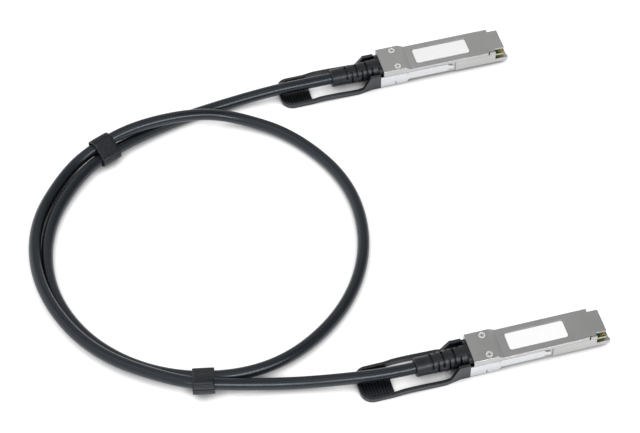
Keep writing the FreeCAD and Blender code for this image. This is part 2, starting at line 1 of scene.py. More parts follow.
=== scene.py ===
"""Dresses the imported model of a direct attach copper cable: sheath, ties, plated modules, pull tabs
and studio."""
import math

import bmesh
import bpy
from mathutils import Matrix, Vector


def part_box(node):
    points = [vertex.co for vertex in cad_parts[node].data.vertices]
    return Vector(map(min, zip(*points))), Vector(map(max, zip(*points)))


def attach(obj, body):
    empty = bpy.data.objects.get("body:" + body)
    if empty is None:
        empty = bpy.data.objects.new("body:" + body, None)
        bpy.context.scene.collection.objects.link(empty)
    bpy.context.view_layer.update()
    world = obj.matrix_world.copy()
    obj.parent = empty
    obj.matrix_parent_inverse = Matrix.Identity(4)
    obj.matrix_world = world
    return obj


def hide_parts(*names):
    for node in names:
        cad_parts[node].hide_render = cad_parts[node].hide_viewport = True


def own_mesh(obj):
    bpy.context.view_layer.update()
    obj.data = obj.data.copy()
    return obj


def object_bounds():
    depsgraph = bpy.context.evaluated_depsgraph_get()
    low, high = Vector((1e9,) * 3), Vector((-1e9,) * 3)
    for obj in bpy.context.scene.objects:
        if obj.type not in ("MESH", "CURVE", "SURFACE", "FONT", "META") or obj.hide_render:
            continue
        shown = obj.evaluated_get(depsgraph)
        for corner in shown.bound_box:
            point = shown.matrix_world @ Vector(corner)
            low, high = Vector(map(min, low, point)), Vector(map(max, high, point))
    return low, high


bl_info = {
    "name": "Direct Attach Cable",
    "version": (1, 0, 0),
    "blender": (4, 5, 0),
    "location": "3D View > Sidebar > Attach Cable",
    "description": "Sheath, ties, module finishes and studio for a direct attach cable",
    "category": "Object",
}

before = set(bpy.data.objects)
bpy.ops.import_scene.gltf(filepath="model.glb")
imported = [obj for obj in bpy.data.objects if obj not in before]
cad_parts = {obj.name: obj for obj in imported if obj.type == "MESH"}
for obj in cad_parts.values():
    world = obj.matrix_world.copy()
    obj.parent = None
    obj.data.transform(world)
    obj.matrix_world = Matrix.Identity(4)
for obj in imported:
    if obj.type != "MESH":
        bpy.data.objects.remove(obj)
cad_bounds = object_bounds()

MODULES = ("plug_a", "plug_b")
LATCH_JOINTS = {"plug_a": "latch_a_pull", "plug_b": "latch_b_pull"}
FIXED_BODY = "plugs_and_cable"

# Control points of the cable's centre line, in metres, from the first module round to the second.
CABLE_ROUTE = [
    (-0.0295, 0.10155, 0.0064),
    (-0.0435, 0.10155, 0.0064),
    (-0.0624, 0.1014, 0.0066),
    (-0.0881, 0.1019, 0.0034),
    (-0.1203, 0.0977, 0.0032),
    (-0.1542, 0.0859, 0.0051),
    (-0.1797, 0.073, 0.0046),
    (-0.206, 0.0399, 0.0032),
    (-0.2125, -0.0034, 0.0032),
    (-0.196, -0.0456, 0.0032),
    (-0.1602, -0.0756, 0.0048),
    (-0.1119, -0.0829, 0.0048),
    (-0.0686, -0.0584, 0.0032),
    (-0.0429, -0.0194, 0.0032),
    (-0.0389, 0.0274, 0.0032),
    (-0.0595, 0.0689, 0.0032),
    (-0.0883, 0.0902, 0.0046),
    (-0.1111, 0.0929, 0.0111),
    (-0.1434, 0.0919, 0.012),
    (-0.1672, 0.0866, 0.0082),
    (-0.1877, 0.0764, 0.0036),
    (-0.2128, 0.0428, 0.0038),
    (-0.2175, -0.004, 0.008),
    (-0.1998, -0.049, 0.0082),
    (-0.1615, -0.0798, 0.0093),
    (-0.1352, -0.0862, 0.0063),
    (-0.1071, -0.0916, 0.0034),
    (-0.0811, -0.098, 0.0058),
    (-0.0569, -0.10155, 0.0064),
    (-0.0429, -0.10155, 0.0064),
]

RIB_STEPS = 6           # points along the strap for each row of hooks
STRAP_COLUMNS = 10      # faces across the strap
LAP_RISE = 0.0025       # length over which the strap climbs onto its own start
LAP_LIFT = 1.05         # height of the lap, in thicknesses of strap
STRAND_REACH = 0.02     # a tie holds the strands that cross within this distance of its middle

COIL_TURNS = 5
COIL_STEPS = 24         # points along one turn
WIRE_CORNERS = 8

PLATING = 0.00004       # thickness of a contact
CONTACT_SETBACK = 0.0003

# Each lamp, with its size and its place from the point that the camera looks at.
LAMPS = {
    "key": ((1.4, 1.4), (-0.3, -0.1, 1.7)),
    "front": ((1.2, 0.4), (0.1, -1.26, 0.98)),
    "fill": ((0.6, 0.35), (0.35, 1.06, 1.24)),
}

# Where each tie crosses the loop, the way that its strap runs across the strands, and where its
# free end laps over the outside, both in degrees.
TIE_PLACES = (
    ("tie_a", "cable_tie_a", (-0.1637, 0.0840), 203.0, 0.0),
    ("tie_b", "cable_tie_b", (-0.1476, -0.0779), -12.0, 115.0),
)


class StudioSettings(bpy.types.PropertyGroup):
    """The floor, lamps and camera."""
    distance: bpy.props.FloatProperty(
        name="Camera distance", description="From the camera to the point it looks at",
        default=1.18746, unit="LENGTH")
    elevation: bpy.props.FloatProperty(
        name="Elevation", description="Height of the camera above the floor, as an angle",
        default=math.radians(51.02), subtype="ANGLE")
    turn: bpy.props.FloatProperty(
        name="Turn", description="How far the camera is turned from looking along +Y towards +X",
        default=math.radians(15.7), subtype="ANGLE")
    aim: bpy.props.FloatVectorProperty(
        name="Aim", description="Point on the floor that the camera looks at",
        default=(-0.0611, 0.01165, 0.0), subtype="TRANSLATION")
    lens: bpy.props.FloatProperty(
        name="Lens", description="Focal length in millimetres on a 36 mm wide sensor",
        default=123.67)
    floor_colour: bpy.props.FloatVectorProperty(
        name="Floor", description="Colour of the floor",
        default=(0.95, 0.95, 0.95), subtype="COLOR")
    key_power: bpy.props.FloatProperty(
        name="Key lamp", description="Power of the large soft lamp overhead, in watts", default=5.0)
    fill_power: bpy.props.FloatProperty(
        name="Fill lamp", description="Power of the small lamp behind the far plug, in watts",
        default=0.4)
    front_power: bpy.props.FloatProperty(
        name="Front lamp", description="Power of the strip lamp on the near side, in watts",
        default=16.0)
    sky_level: bpy.props.FloatProperty(
        name="Room light", description="Brightness of the room around the object", default=0.74)


class CableSettings(bpy.types.PropertyGroup):
    """The free cable."""
    diameter: bpy.props.FloatProperty(
        name="Diameter", description="Outside diameter of the sheath",
        default=0.0064, unit="LENGTH")
    colour: bpy.props.FloatVectorProperty(
        name="Sheath", description="Colour of the sheath",
        default=(0.004, 0.005, 0.007), subtype="COLOR")


class TieSettings(bpy.types.PropertyGroup):
    """The two hook-and-loop ties."""
    width: bpy.props.FloatProperty(
        name="Width", description="Width of the strap", default=0.0112, unit="LENGTH")
    thickness: bpy.props.FloatProperty(
        name="Thickness", description="Thickness of one layer of strap",
        default=0.0009, unit="LENGTH")
    slack: bpy.props.FloatProperty(
        name="Slack", description="Room between the strap and the sheath",
        default=0.0004, unit="LENGTH")
    lap: bpy.props.FloatProperty(
        name="Lap", description="Length of strap that lies over its own start", default=0.012,
        unit="LENGTH")
    pitch: bpy.props.FloatProperty(
        name="Rib pitch", description="Distance from one row of hooks to the next", default=0.00078,
        unit="LENGTH")
    rib: bpy.props.FloatProperty(
        name="Rib height", description="Height of a row of hooks", default=0.00016, unit="LENGTH")
    colour: bpy.props.FloatVectorProperty(
        name="Strap", description="Colour of the webbing",
        default=(0.003, 0.003, 0.004), subtype="COLOR")


class ModuleSettings(bpy.types.PropertyGroup):
    """Finishes and contacts of the two modules."""
    casting: bpy.props.FloatVectorProperty(
        name="Casting", description="Colour of the plated castings",
        default=(0.48, 0.48, 0.475), subtype="COLOR")
    sheet: bpy.props.FloatVectorProperty(
        name="Sheet", description="Colour of the stainless latch slider",
        default=(0.62, 0.63, 0.65), subtype="COLOR")
    label: bpy.props.FloatVectorProperty(
        name="Label", description="Colour of the label film",
        default=(0.96, 0.96, 0.96), subtype="COLOR")
    tab: bpy.props.FloatVectorProperty(
        name="Pull tab", description="Colour of the pull tab",
        default=(0.006, 0.007, 0.009), subtype="COLOR")
    boot: bpy.props.FloatVectorProperty(
        name="Strain relief", description="Colour of the strain relief",
        default=(0.003, 0.0035, 0.005), subtype="COLOR")
    mask: bpy.props.FloatVectorProperty(
        name="Circuit card", description="Colour of the card's solder mask",
        default=(0.005, 0.075, 0.035), subtype="COLOR")
    contact_count: bpy.props.IntProperty(
        name="Contacts", description="Contacts on each face of the card", default=19)
    contact_pitch: bpy.props.FloatProperty(
        name="Contact pitch", description="Distance between neighbouring contacts", default=0.0008,
        unit="LENGTH")
    contact_width: bpy.props.FloatProperty(
        name="Contact width", description="Width of one contact", default=0.0006, unit="LENGTH")
    contact_length: bpy.props.FloatProperty(
        name="Contact length", description="Length of one contact", default=0.0030, unit="LENGTH")


# ---- materials --------------------------------------------------------------
class Finish:
    """A material under construction, with short calls for the nodes that the finishes share."""

    def __init__(self, name, colour, roughness, metallic=0.0):
        self.material = bpy.data.materials.new(name)
        self.material.use_nodes = True
        self.nodes = self.material.node_tree.nodes
        self.links = self.material.node_tree.links
        self.shader = self.nodes["Principled BSDF"]
        self.shader.inputs["Base Color"].default_value = (*colour, 1.0)
        self.shader.inputs["Roughness"].default_value = roughness
        self.shader.inputs["Metallic"].default_value = metallic
        self.material.diffuse_color = (*colour, 1.0)

    def node(self, kind, **values):
        new = self.nodes.new(kind)
        for socket, value in values.items():
            new.inputs[socket.replace("_", " ")].default_value = value
        return new

    def place(self, stretch=(1.0, 1.0, 1.0)):
        """Object coordinates, stretched."""
        source = self.nodes.new("ShaderNodeTexCoord")
        mapping = self.nodes.new("ShaderNodeMapping")
        mapping.inputs["Scale"].default_value = stretch
        self.links.new(source.outputs["Object"], mapping.inputs["Vector"])
        return mapping.outputs["Vector"]

    def maths(self, operation, *values):
        """One step of arithmetic on numbers and on other nodes' results."""
        new = self.nodes.new("ShaderNodeMath")
        new.operation = operation
        for socket, value in zip(new.inputs, values):
            if isinstance(value, float):
                socket.default_value = value
            else:
                self.links.new(value, socket)
        return new.outputs[0]

    def coordinate(self, output, axis):
        """One axis of the texture coordinates."""
        source = self.nodes.new("ShaderNodeTexCoord")
        split = self.nodes.new("ShaderNodeSeparateXYZ")
        self.links.new(source.outputs[output], split.inputs["Vector"])
        return split.outputs[axis]

    def noise(self, scale, detail=3.0, stretch=(1.0, 1.0, 1.0)):
        texture = self.node("ShaderNodeTexNoise", Scale=scale, Detail=detail)
        self.links.new(self.place(stretch), texture.inputs["Vector"])
        return texture.outputs["Fac"]

    def spread(self, value, low, high, top=1.0):
        """value between 0 and top carried over to low and high."""
        mapped = self.nodes.new("ShaderNodeMapRange")
        mapped.inputs["From Max"].default_value = top
        mapped.inputs["To Min"].default_value = low
        mapped.inputs["To Max"].default_value = high
        self.links.new(value, mapped.inputs["Value"])
        return mapped.outputs["Result"]

    def vary_roughness(self, value, low, high):
        self.links.new(self.spread(value, low, high), self.shader.inputs["Roughness"])

    def vary_colour(self, value, dark, light):
        ramp = self.nodes.new("ShaderNodeValToRGB")
        ramp.color_ramp.elements[0].color = (*dark, 1.0)
        ramp.color_ramp.elements[1].color = (*light, 1.0)
        ramp.color_ramp.elements[0].position = 0.3
        ramp.color_ramp.elements[1].position = 0.7
        self.links.new(value, ramp.inputs["Fac"])
        self.links.new(ramp.outputs["Color"], self.shader.inputs["Base Color"])

    def shade(self, value, darkest, top=1.0):
        """Paints shade into the colour: darkens it where value is below top."""
        colour = self.shader.inputs["Base Color"]
        blend = self.nodes.new("ShaderNodeMix")
        blend.data_type = "RGBA"
        blend.blend_type = "MULTIPLY"
        blend.inputs["Factor"].default_value = 1.0
        if colour.is_linked:
            self.links.new(colour.links[0].from_socket, blend.inputs["A"])
        else:
            blend.inputs["A"].default_value = colour.default_value
        self.links.new(self.spread(value, darkest, 1.0, top), blend.inputs["B"])
        self.links.new(blend.outputs["Result"], colour)

    def paint_shade_in_recesses(self, reach, darkest, openness=1.0):
        """Painted shade: darkens the colour of recesses narrower than reach, where less than openness
        of the sky is seen.
        """
        sky = self.node("ShaderNodeAmbientOcclusion", Distance=reach)
        self.shade(sky.outputs["AO"], darkest, openness)

    def colour_edges(self, colour):
        """Another colour on a sheet's upright cut edges."""
        faces = self.shader.inputs["Base Color"].links[0].from_socket
        level = self.maths("ABSOLUTE", self.coordinate("Normal", "Z"))
        blend = self.nodes.new("ShaderNodeMix")
        blend.data_type = "RGBA"
        blend.inputs["A"].default_value = (*colour, 1.0)
        self.links.new(level, blend.inputs["Factor"])
        self.links.new(faces, blend.inputs["B"])
        self.links.new(blend.outputs["Result"], self.shader.inputs["Base Color"])

    def seam_shade_line(self, height, width, darkest):
        """A fine line of painted shade round the piece at one height, standing in for the shade in a
        seam.
        """
        away = self.maths("SUBTRACT", self.coordinate("Object", "Z"), height)
        distance = self.maths("ABSOLUTE", away)
        self.shade(self.spread(distance, 0.0, 1.0, width), darkest)

    def relief(self, value, depth, edge=0.0):
        """Bump of a real depth in metres, over edges that are softened by a radius."""
        bump = self.node("ShaderNodeBump", Strength=1.0, Distance=depth)
        self.links.new(value, bump.inputs["Height"])
        if edge:
            soft = self.nodes.new("ShaderNodeBevel")
            soft.samples = 4
            soft.inputs["Radius"].default_value = edge
            self.links.new(soft.outputs["Normal"], bump.inputs["Normal"])
        self.links.new(bump.outputs["Normal"], self.shader.inputs["Normal"])


def tinted(colour, factor):
    return tuple(min(1.0, part * factor) for part in colour)


def plated_casting(colour, seam):
    """Satin nickel plating over a fine-grained die casting, with painted shade in its recesses and a
    line of painted shade at the seam where the halves meet.
    """
    finish = Finish("plated casting", colour, 0.38, metallic=1.0)
    clouds = finish.noise(55.0, detail=5.0)
    grain = finish.noise(6500.0, detail=2.0)
    finish.vary_colour(clouds, tinted(colour, 0.95), tinted(colour, 1.05))
    finish.vary_roughness(clouds, 0.34, 0.44)
    finish.relief(grain, depth=0.000012, edge=0.00018)
    # painted shade: the colour darkens in the mouth and other recesses of the castings
    finish.paint_shade_in_recesses(reach=0.0036, darkest=0.04, openness=0.62)
    # painted shade: a thin dark line along the seam where cover and base meet
    finish.seam_shade_line(seam, width=0.00022, darkest=0.7)
    return finish.material


def stainless_sheet(colour):
    """Stamped stainless strip, drawn lengthwise."""
    finish = Finish("stainless sheet", colour, 0.26, metallic=1.0)
    lines = finish.noise(900.0, detail=4.0, stretch=(0.04, 1.0, 1.0))
    finish.vary_roughness(lines, 0.20, 0.34)
    # painted shade: the colour darkens in the slider's narrow gaps and slits
    finish.paint_shade_in_recesses(reach=0.0010, darkest=0.3)
    finish.relief(lines, depth=0.000010, edge=0.00010)
    return finish.material


def bright_steel():
    """Turned and headed steel of the screws and springs."""
    finish = Finish("bright steel", (0.94, 0.94, 0.93), 0.34, metallic=0.75)
    finish.vary_roughness(finish.noise(1500.0), 0.28, 0.4)
    finish.relief(finish.noise(3000.0), depth=0.000006, edge=0.00012)
    # painted shade: the colour darkens in the screws' cross recesses and between the coils of the
    # springs
    finish.paint_shade_in_recesses(reach=0.0012, darkest=0.05)
    return finish.material


def label_film(colour):
    """Matt white film with a trace of its adhesive's texture."""
    finish = Finish("label film", colour, 0.5)
    fibres = finish.noise(2600.0, detail=6.0)
    finish.vary_colour(finish.noise(300.0), tinted(colour, 0.985), tinted(colour, 1.01))
    finish.relief(fibres, depth=0.000006)
    return finish.material


def moulded_plastic(name, colour, rough, gloss, edge):
    """Spark-textured black moulding, a little glossier where it is handled."""
    finish = Finish(name, colour, rough)
    finish.shader.inputs["Specular IOR Level"].default_value = gloss
    finish.shader.inputs["Specular Tint"].default_value = (0.88, 0.94, 1.0, 1.0)
    handled = finish.noise(120.0, detail=4.0)
    finish.vary_colour(handled, tinted(colour, 0.85), tinted(colour, 1.2))
    finish.vary_roughness(handled, rough - 0.06, rough + 0.07)
    finish.relief(finish.noise(4200.0, detail=3.0), depth=0.000005, edge=edge)
    # painted shade: the colour darkens in the boot's slots and between the pull tab's ribs
    finish.paint_shade_in_recesses(reach=0.0015, darkest=0.2)
    return finish.material


def cable_sheath(colour):
    """Extruded sheath: smooth, satin, with the faint ripple of the pairs below."""
    finish = Finish("cable sheath", colour, 0.32)
    finish.shader.inputs["Specular IOR Level"].default_value = 0.62
    finish.shader.inputs["Specular Tint"].default_value = (0.80, 0.89, 1.0, 1.0)
    ripple = finish.noise(70.0, detail=2.0)
    finish.vary_colour(finish.noise(160.0, detail=5.0), tinted(colour, 0.9), tinted(colour, 1.15))
    finish.vary_roughness(ripple, 0.28, 0.38)
    finish.relief(finish.noise(900.0, detail=4.0), depth=0.000006)
    return finish.material


def card_laminate(colour):
    """Green solder mask over glass laminate, which is bare and pale at the cut edges."""
    finish = Finish("card laminate", colour, 0.3)
    finish.shader.inputs["Coat Weight"].default_value = 0.4
    finish.vary_colour(finish.noise(900.0, detail=3.0), tinted(colour, 0.8), tinted(colour, 1.25))
    finish.colour_edges((0.50, 0.52, 0.24))
    return finish.material


def gold_plating():
    finish = Finish("gold plating", (1.0, 0.66, 0.28), 0.3, metallic=1.0)
    finish.vary_roughness(finish.noise(2200.0), 0.26, 0.4)
    return finish.material


def plain_brass():
    finish = Finish("ferrule brass", (0.78, 0.62, 0.34), 0.3, metallic=1.0)
    finish.vary_roughness(finish.noise(1200.0), 0.24, 0.4)
    return finish.material


def foil_wrap():
    finish = Finish("foil wrap", (0.66, 0.68, 0.72), 0.3, metallic=0.8)
    finish.relief(finish.noise(1800.0, stretch=(1.0, 0.3, 0.3)), depth=0.00003)
    return finish.material


def hook_webbing(colour, pitch):
    """Black webbing whose rows are parted into single hooks across the strap, read from its UVs."""
    finish = Finish("hook webbing", colour, 0.3)
    finish.shader.inputs["Specular Tint"].default_value = (0.86, 0.92, 1.0, 1.0)
    turns = finish.maths("MULTIPLY", finish.coordinate("UV", "Y"), 2.0 * math.pi / pitch)
    wave = finish.maths("SINE", turns)
    hooks = finish.maths("MULTIPLY_ADD", wave, 0.5, 0.5)
    finish.vary_colour(finish.noise(1200.0), tinted(colour, 0.5), tinted(colour, 1.8))
    finish.vary_roughness(hooks, 0.26, 0.15)
    finish.relief(hooks, depth=0.00005)
    # painted shade: the colour darkens in the grooves between the rows of hooks and in other narrow
    # gaps
    finish.paint_shade_in_recesses(reach=0.0004, darkest=0.2)
    return finish.material


# ---- mesh helpers -----------------------------------------------------------
def finish_node(name, material):
    """Gives a carried-over piece its finish."""
    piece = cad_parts[name]
    if not piece.material_slots:
        piece.data.materials.append(material)
    for slot in piece.material_slots:
        slot.material = material


def finish_both(piece, material):
    for module in MODULES:
        finish_node(f"{module}_{piece}", material)


def new_piece(name, shape, material):
    """A bmesh turned into a piece that rides on the fixed body."""
    mesh = bpy.data.meshes.new(name)
    shape.to_mesh(mesh)
    shape.free()
    mesh.materials.append(material)
    piece = bpy.data.objects.new(name, mesh)
    bpy.context.scene.collection.objects.link(piece)
    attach(piece, FIXED_BODY)
    return piece


def add_block(shape, low, high):
    """A plain block between two corners."""
    size = Vector(high) - Vector(low)
    middle = (Vector(high) + Vector(low)) / 2
    bmesh.ops.create_cube(shape, matrix=Matrix.Translation(middle) @ Matrix.Diagonal((*size, 1.0)))


def centre_line(cable):
    """Points of the cable's own spline, a few millimetres apart."""
    bare = cable.data.copy()
    bare.bevel_depth = 0.0
    line = bpy.data.objects.new("centre line", bare)
    mesh = bpy.data.meshes.new_from_object(line)
    points = [vertex.co.copy() for vertex in mesh.vertices]
    bpy.data.objects.remove(line)
    bpy.data.curves.remove(bare)
    bpy.data.meshes.remove(mesh)
    return points


# ---- the cable and its ties -------------------------------------------------
class ATTACHCABLE_OT_lay_cable(bpy.types.Operator):
    """Lay the free cable from one strain relief to the other"""
    bl_idname = "attach_cable.lay_cable"
    bl_label = "Lay cable"

    def execute(self, context):
        settings = context.scene.attach_cable
        line = bpy.data.curves.new("cable", "CURVE")
        line.dimensions = "3D"
        line.bevel_depth = settings.diameter / 2
        line.bevel_resolution = 7
        line.resolution_u = 12
        line.use_fill_caps = True
        spline = line.splines.new("NURBS")
        spline.points.add(len(CABLE_ROUTE) - 1)
        for point, place in zip(spline.points, CABLE_ROUTE):
            point.co = (*place, 1.0)
        spline.order_u = 3
        spline.use_endpoint_u = True
        line.materials.append(cable_sheath(settings.colour))
        cable = bpy.data.objects.new("cable", line)
        context.scene.collection.objects.link(cable)
        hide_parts("cable_jacket")
        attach(cable, FIXED_BODY)
        return {"FINISHED"}


def strand_places(points, spot, along):
    """Where the cable crosses the upright plane of a tie, as distances across it and heights."""
    across = Vector((-along.y, along.x, 0.0))
    places = []
    for start, end in zip(points, points[1:]):
        before = (start - spot).dot(along)
        after = (end - spot).dot(along)
        if before * after > 0.0 or before == after:
            continue
        crossing = start.lerp(end, before / (before - after))
        reach = (crossing - spot).dot(across)
        if abs(reach) < STRAND_REACH:
            places.append((reach, crossing.z))
    return sorted(places)


def strap_line(strands, radius, step):
    """Closed outline round two strands, in the tie's plane, as points about a step apart."""
    first, last = Vector(strands[0]), Vector(strands[-1])
    lean = math.atan2(last.y - first.y, last.x - first.x)
    reach = (last - first).length
    turns = max(10, round(math.pi * radius / step))
    straights = max(3, round(reach / step))
    outline = []
    for centre, start in ((last, lean - math.pi / 2), (first, lean + math.pi / 2)):
        for index in range(turns):
            angle = start + math.pi * index / turns
            outline.append(centre + radius * Vector((math.cos(angle), math.sin(angle))))
        corner = centre + radius * Vector((math.cos(start + math.pi), math.sin(start + math.pi)))
        way = (first - last) if centre is last else (last - first)
        for index in range(straights):
            outline.append(corner + way * index / straights)
    return outline


def strap_piece(name, strands, spot, along, lap_from, settings, diameter, material):
    """A strap that goes once round the strands and laps over its own start."""
    across = Vector((-along.y, along.x, 0.0))
    step = settings.pitch / RIB_STEPS
    radius = diameter / 2 + settings.slack + settings.thickness / 2
    loop = strap_line(strands, radius, step)
    lap_count = round(settings.lap / step)
    rise_count = round(LAP_RISE / step)
    facing = Vector((math.cos(math.radians(lap_from)), math.sin(math.radians(lap_from))))
    begin = max(range(len(loop)), key=lambda index: loop[index].dot(facing))
    path = []
    for index in range(len(loop) + lap_count):
        place = loop[(begin + index) % len(loop)]
        ahead = loop[(begin + index + 1) % len(loop)]
        behind = loop[(begin + index - 1) % len(loop)]
        way = (ahead - behind).normalized()
        outward = Vector((way.y, -way.x))
        rise = min(1.0, max(0.0, (index - len(loop) + rise_count) / rise_count))
        path.append((place + outward * rise * settings.thickness * LAP_LIFT, outward))
    shape = bmesh.new()
    uv = shape.loops.layers.uv.new("strap")
    grid = []
    for index, (place, outward) in enumerate(path):
        row = []
        for side in (1.0, -1.0):
            line = []
            for column in range(STRAP_COLUMNS + 1):
                share = column / STRAP_COLUMNS - 0.5
                crown = 0.5 - 0.12 * abs(share * 2.0) ** 6      # thinner at the two edges
                flat = place + outward * side * settings.thickness * crown
                if side > 0.0:
                    turn = 2.0 * math.pi * index / RIB_STEPS
                    flat += outward * settings.rib * (0.5 + 0.5 * math.sin(turn))
                # the edges wander a tenth of a millimetre
                wander = 0.00010 * math.sin(index * 0.3 + column) * abs(share * 2.0) ** 4
                at = spot + along * (share * settings.width + wander) + across * flat.x
                line.append(shape.verts.new((at.x, at.y, flat.y)))
            row.append(line)
        grid.append(row)

    def quad(corners, places):
        face = shape.faces.new(corners)
        face.smooth = True
        for loop_end, spot_uv in zip(face.loops, places):
            loop_end[uv].uv = spot_uv

    for index in range(len(path) - 1):
        u0, u1 = index * step, (index + 1) * step
        for side in (0, 1):
            for column in range(STRAP_COLUMNS):
                v0 = column / STRAP_COLUMNS * settings.width
                v1 = (column + 1) / STRAP_COLUMNS * settings.width
                near, far = grid[index][side], grid[index + 1][side]
                corners = [near[column], far[column], far[column + 1], near[column + 1]]
                places = [(u0, v0), (u1, v0), (u1, v1), (u0, v1)]
                if side:
                    corners.reverse()
                    places.reverse()
                quad(corners, places)
        for column, flip in ((0, False), (STRAP_COLUMNS, True)):
            edge = [grid[index][0][column], grid[index][1][column],
                    grid[index + 1][1][column], grid[index + 1][0][column]]
            if flip:
                edge.reverse()
            quad(edge, [(u0, 0.0), (u0, 0.0), (u1, 0.0), (u1, 0.0)])
    for index, flip in ((0, True), (len(path) - 1, False)):
        for column in range(STRAP_COLUMNS):
            edge = [grid[index][0][column], grid[index][1][column],
                    grid[index][1][column + 1], grid[index][0][column + 1]]
            if flip:
                edge.reverse()
            v0 = column / STRAP_COLUMNS * settings.width
            quad(edge, [(0.0, v0)] * 4)
    bmesh.ops.recalc_face_normals(shape, faces=shape.faces)
    return new_piece(name, shape, material)


class ATTACHCABLE_OT_wrap_ties(bpy.types.Operator):
    """Wrap the hook-and-loop ties round both strands of the loop"""
    bl_idname = "attach_cable.wrap_ties"
    bl_label = "Wrap ties"

    def execute(self, context):
        settings = context.scene.attach_ties
        settings_all = context.scene.attach_cable
        cable = bpy.data.objects["cable"]
        points = centre_line(cable)
        webbing = hook_webbing(settings.colour, settings.pitch)
        for name, node, place, heading, lap_from in TIE_PLACES:
            spot = Vector((*place, 0.0))
            along = Vector((math.cos(math.radians(heading)), math.sin(math.radians(heading)), 0.0))
            strands = strand_places(points, spot, along)
            if len(strands) < 2:
                raise RuntimeError(f"{name} needs two strands to hold")
            tie = strap_piece(name, strands, spot, along, lap_from, settings,
                              settings_all.diameter, webbing)
            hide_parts(node)
        return {"FINISHED"}


# ---- the modules ------------------------------------------------------------
class ATTACHCABLE_OT_finish_castings(bpy.types.Operator):
    """Plate the castings and put bright steel on the screws"""
    bl_idname = "attach_cable.finish_castings"
    bl_label = "Finish castings"

    def execute(self, context):
        settings = context.scene.attach_module
        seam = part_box("plug_a_top_cover")[0][2]
        casting = plated_casting(settings.casting, seam)
        finish_both("top_cover", casting)
        finish_both("bottom_base", casting)
        finish_both("cover_screws", bright_steel())
        return {"FINISHED"}


def add_coil(shape, start, length, radius, wire):
    """A coil that runs back from start along X, of round wire whose own radius is wire."""
    rings = []
    for step in range(COIL_TURNS * COIL_STEPS + 1):
        angle = 2.0 * math.pi * step / COIL_STEPS
        outward = Vector((0.0, math.cos(angle), math.sin(angle)))
        back = length * step / (COIL_TURNS * COIL_STEPS)
        centre = Vector((start[0] - back, start[1], start[2])) + outward * radius
        ring = []
        for corner in range(WIRE_CORNERS):
            around = 2.0 * math.pi * corner / WIRE_CORNERS
            offset = outward * math.cos(around) + Vector((math.sin(around), 0.0, 0.0))
            ring.append(shape.verts.new(centre + wire * offset))
        rings.append(ring)
    for ring, following in zip(rings, rings[1:]):
        for corner in range(WIRE_CORNERS):
            ahead = (corner + 1) % WIRE_CORNERS
            corners = (ring[corner], ring[ahead], following[ahead], following[corner])
            shape.faces.new(corners).smooth = True
    shape.faces.new(rings[0])
    shape.faces.new(rings[-1])


class ATTACHCABLE_OT_coil_springs(bpy.types.Operator):
    """Coil the return springs at their rest length; in the module they shorten as the latch slider is
    pulled back
    """
    bl_idname = "attach_cable.coil_springs"
    bl_label = "Coil springs"

    def execute(self, context):
        steel = bright_steel()
        wire, radius = 0.0002, 0.00075
        for module, joint in LATCH_JOINTS.items():
            node = f"{module}_return_springs"
            low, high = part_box(node)
            length = high[0] - low[0] - 2 * wire
            height = (low[2] + high[2]) / 2
            shape = bmesh.new()
            for middle in (low[1] + radius + wire, high[1] - radius - wire):
                add_coil(shape, (high[0] - wire, middle, height), length, radius, wire)
            bmesh.ops.recalc_face_normals(shape, faces=shape.faces)
            springs = new_piece(f"{module}_springs", shape, steel)
            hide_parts(node)
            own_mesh(springs)
        return {"FINISHED"}


class ATTACHCABLE_OT_finish_sliders(bpy.types.Operator):
    """Finish the stainless latch sliders"""
    bl_idname = "attach_cable.finish_sliders"
    bl_label = "Finish latch sliders"

    def execute(self, context):
        finish_both("latch_slider", stainless_sheet(context.scene.attach_module.sheet))
        return {"FINISHED"}


class ATTACHCABLE_OT_finish_labels(bpy.types.Operator):
    """Finish the bare label films"""
    bl_idname = "attach_cable.finish_labels"
    bl_label = "Finish labels"

    def execute(self, context):
        finish_both("label_plate", label_film(context.scene.attach_module.label))
        return {"FINISHED"}


class ATTACHCABLE_OT_finish_mouldings(bpy.types.Operator):
    """Finish the pull tabs, the strain reliefs and what lies inside them, and the twin pairs"""
    bl_idname = "attach_cable.finish_mouldings"
    bl_label = "Finish mouldings"

    def execute(self, context):
        settings = context.scene.attach_module
        finish_both("pull_tab", moulded_plastic("tab plastic", settings.tab,
                                                rough=0.3, gloss=0.72, edge=0.00025))
        finish_both("cable_boot", moulded_plastic("boot rubber", settings.boot,
                                                  rough=0.42, gloss=0.55, edge=0.00030))
        sheath = cable_sheath(context.scene.attach_cable.colour)
        finish_both("jacket_end", sheath)
        finish_both("crimp_ferrule", plain_brass())
        finish_both("twin_pairs", foil_wrap())
        return {"FINISHED"}


class ATTACHCABLE_OT_plate_contacts(bpy.types.Operator):
    """Plate the gold contacts on both faces of each circuit card"""
    bl_idname = "attach_cable.plate_contacts"
    bl_label = "Plate contacts"

    def execute(self, context):
        settings = context.scene.attach_module
        finish_both("circuit_card", card_laminate(settings.mask))
        gold = gold_plating()
        for module in MODULES:
            low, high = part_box(f"{module}_circuit_card")
            middle = (low[1] + high[1]) / 2
            shape = bmesh.new()
            for face in (low[2] - PLATING, high[2]):
                for index in range(settings.contact_count):
                    place = index - (settings.contact_count - 1) / 2
                    centre = middle + place * settings.contact_pitch
                    grounded = index % 3 == 0
                    front = high[0] - CONTACT_SETBACK * (1 if grounded else 2)
                    half = settings.contact_width / 2
                    add_block(shape, (front - settings.contact_length, centre - half, face),
                              (front, centre + half, face + PLATING))
            new_piece(f"{module}_contacts", shape, gold)
        return {"FINISHED"}


# ---- the studio -------------------------------------------------------------
def area_lamp(name, power, target):
    size, offset = LAMPS[name]
    place = target + Vector(offset)
    lamp = bpy.data.lights.new(f"{name} lamp", "AREA")
    lamp.shape = "RECTANGLE"
    lamp.size, lamp.size_y = size
    lamp.energy = power
    holder = bpy.data.objects.new(f"{name} lamp", lamp)
    holder.location = place
    holder.rotation_euler = (target - place).to_track_quat("-Z", "Y").to_euler()
    bpy.context.scene.collection.objects.link(holder)


